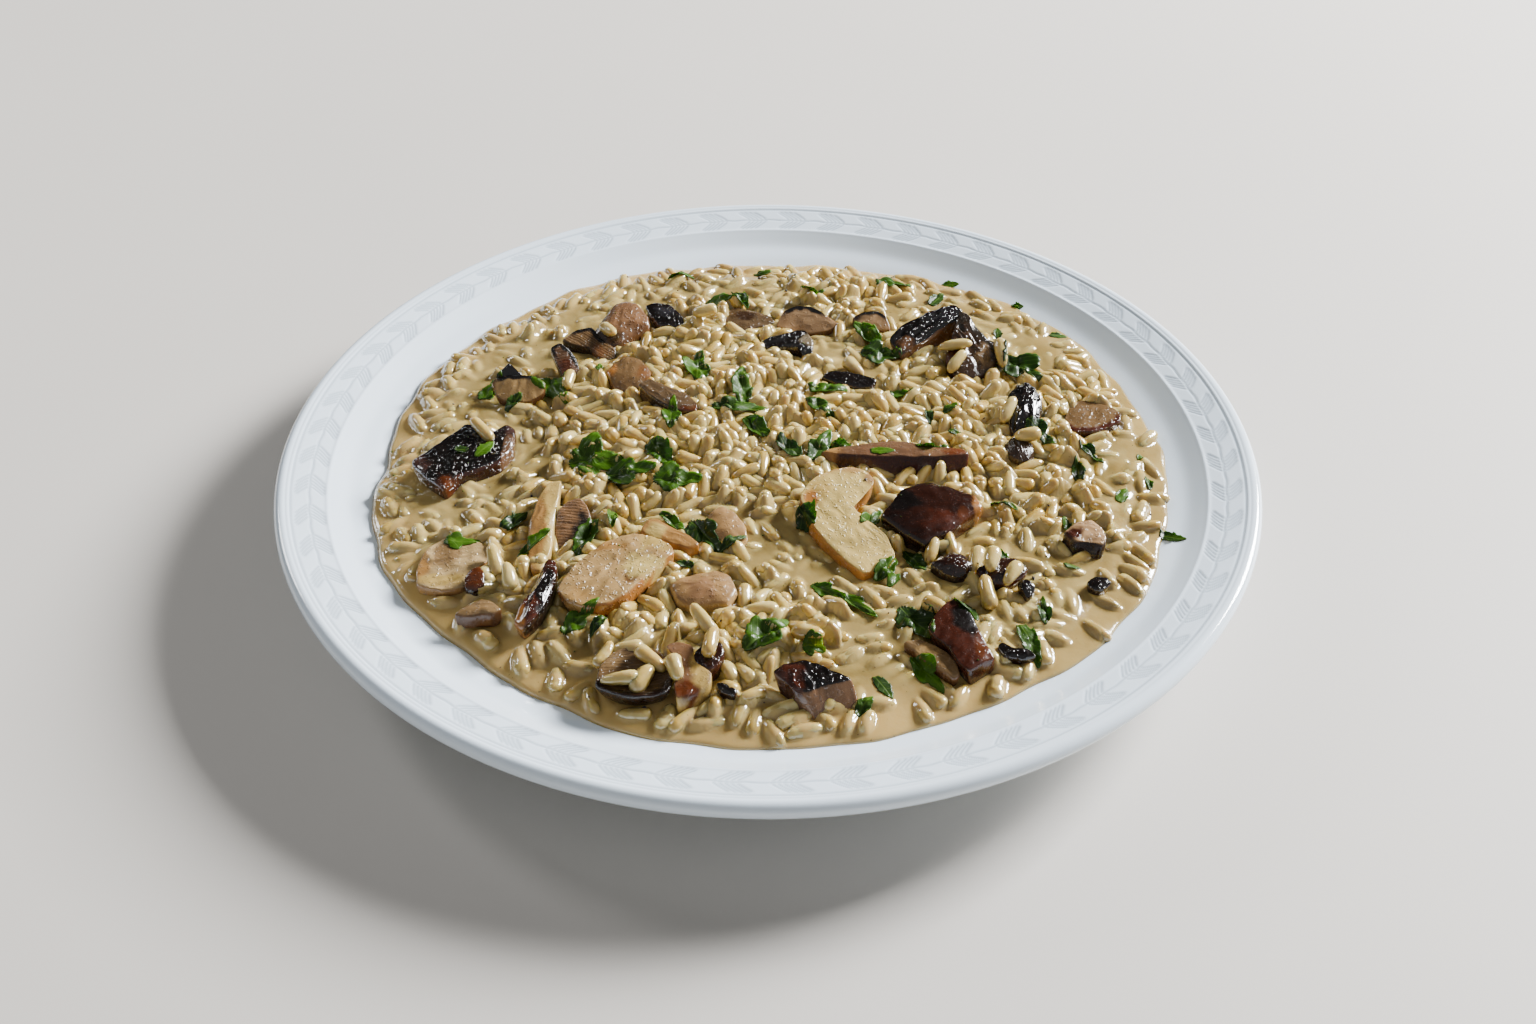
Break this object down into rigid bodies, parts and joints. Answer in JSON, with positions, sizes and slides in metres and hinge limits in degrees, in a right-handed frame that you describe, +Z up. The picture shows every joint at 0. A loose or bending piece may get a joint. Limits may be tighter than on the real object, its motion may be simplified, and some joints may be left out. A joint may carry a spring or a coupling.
{
  "type": "mushroom risotto on a plate",
  "caption": "Creamy mushroom risotto with chopped parsley, heaped in the well of a round white rimmed dinner plate.",
  "frame": {"origin": "middle of the plate's foot ring, on the surface that it stands on", "axes": "+Z up out of the plate, +Y away from the diner, +X to the diner's right"},
  "size_m": [0.28, 0.28, 0.0313],
  "materials": {
    "porcelain": "white glazed porcelain, glossy, with a faint raised leaf band on the rim",
    "sauce": "creamy tan risotto sauce, wet and glossy",
    "rice": "cooked short-grain rice coated in cream, moist sheen",
    "mushroom_skin": "cooked dark mushroom skin and gills, wet",
    "mushroom_flesh": "cooked pale mushroom flesh, browned at its edges, moist",
    "parsley": "fresh chopped flat parsley leaf, slightly waxy"
  },
  "bodies": {
    "root": {"plate": "porcelain", "sauce": "sauce", "rice": "rice", "cap_pink_back": "mushroom_skin", "cap_dark_back": "mushroom_skin", "cap_amber": "mushroom_flesh", "cap_big_dark": "mushroom_skin", "cap_sunk_back": "mushroom_skin", "cap_round_black": "mushroom_skin", "cap_glossy": "mushroom_skin", "cap_red": "mushroom_skin", "cap_two_tone": "mushroom_skin", "cap_upturned": "mushroom_skin", "slice_gilled_left": "mushroom_skin", "slice_gilled_right": "mushroom_skin", "slice_leaning": "mushroom_flesh", "slice_arched_left": "mushroom_skin", "slice_arched_right": "mushroom_skin", "slice_sunk": "mushroom_flesh", "slice_long": "mushroom_skin", "slice_kidney": "mushroom_flesh", "slice_left": "mushroom_flesh", "slice_oval": "mushroom_flesh", "slice_wedge": "mushroom_flesh", "wedge_middle": "mushroom_skin", "strip_curl": "mushroom_skin", "strip_flat": "mushroom_skin", "fold_left": "mushroom_skin", "fold_right": "mushroom_skin", "strip_grey": "mushroom_skin", "strip_bean_left": "mushroom_skin", "strip_bean_right": "mushroom_skin", "stem_crescent": "mushroom_flesh", "chunk_brown": "mushroom_skin", "strip_glossy": "mushroom_skin", "stem_end": "mushroom_flesh", "stem_long": "mushroom_flesh", "curl_gilled": "mushroom_skin", "chunk_dark_front": "mushroom_skin", "lump_soft": "mushroom_flesh", "lump_pink": "mushroom_flesh", "block_cream": "mushroom_flesh", "parsley_01": "parsley", "parsley_02": "parsley", "parsley_03": "parsley", "parsley_04": "parsley", "parsley_05": "parsley", "parsley_06": "parsley", "parsley_07": "parsley", "parsley_08": "parsley", "parsley_09": "parsley", "parsley_10": "parsley", "parsley_11": "parsley", "parsley_12": "parsley", "parsley_13": "parsley", "parsley_14": "parsley", "parsley_15": "parsley", "parsley_16": "parsley", "parsley_17": "parsley"}
  },
  "joints": []
}
